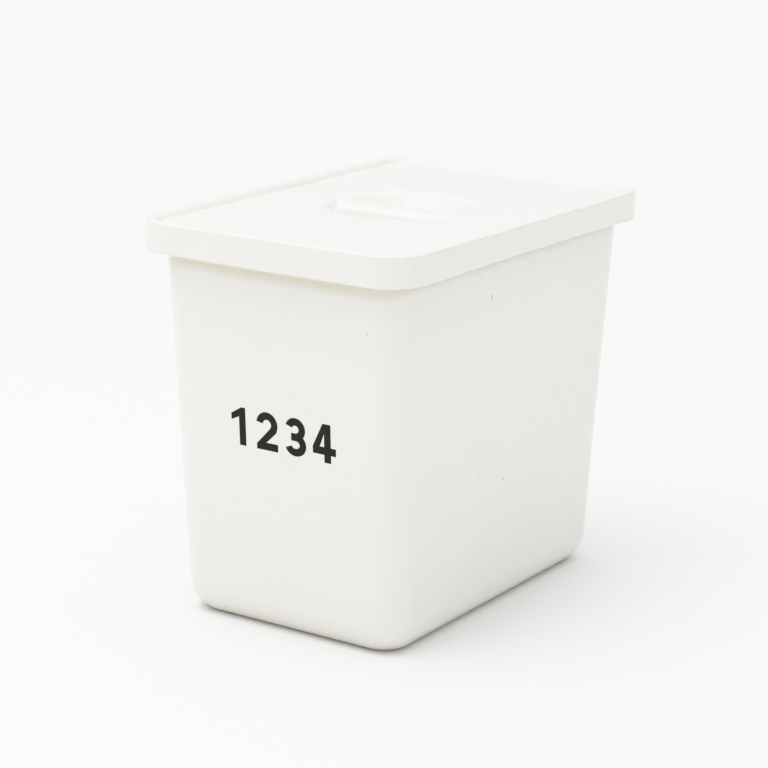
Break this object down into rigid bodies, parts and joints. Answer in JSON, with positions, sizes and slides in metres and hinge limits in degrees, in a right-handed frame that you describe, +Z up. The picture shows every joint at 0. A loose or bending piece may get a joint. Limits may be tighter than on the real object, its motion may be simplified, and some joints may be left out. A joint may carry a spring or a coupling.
{
  "type": "kitchen canister",
  "caption": "Rectangular glazed-ceramic storage canister with tapered walls, a square-edged rim and a drop-in lid lifted by a bar across a round finger hollow.",
  "frame": {"origin": "middle of the canister's footprint, on the surface it stands on", "axes": "+Z up out of the mouth, +Y along the long side towards the back, -Y out of the narrow front face with the numerals, +X across the front to the right-hand long side"},
  "size_m": [0.181, 0.271, 0.231],
  "materials": {
    "white_glaze": "glossy warm white glaze over ironstone",
    "black_transfer": "black ceramic transfer under clear glaze"
  },
  "bodies": {
    "canister": {"canister_body": "white_glaze", "front_numerals": "black_transfer"},
    "lid": {"lid_plate": "white_glaze", "lid_grip_bar": "white_glaze"}
  },
  "joints": [
    {"name": "lid_lift", "type": "slide", "parent": "canister", "child": "lid", "axis": [0, 0, 1], "range_m": [0, 0.12]}
  ]
}
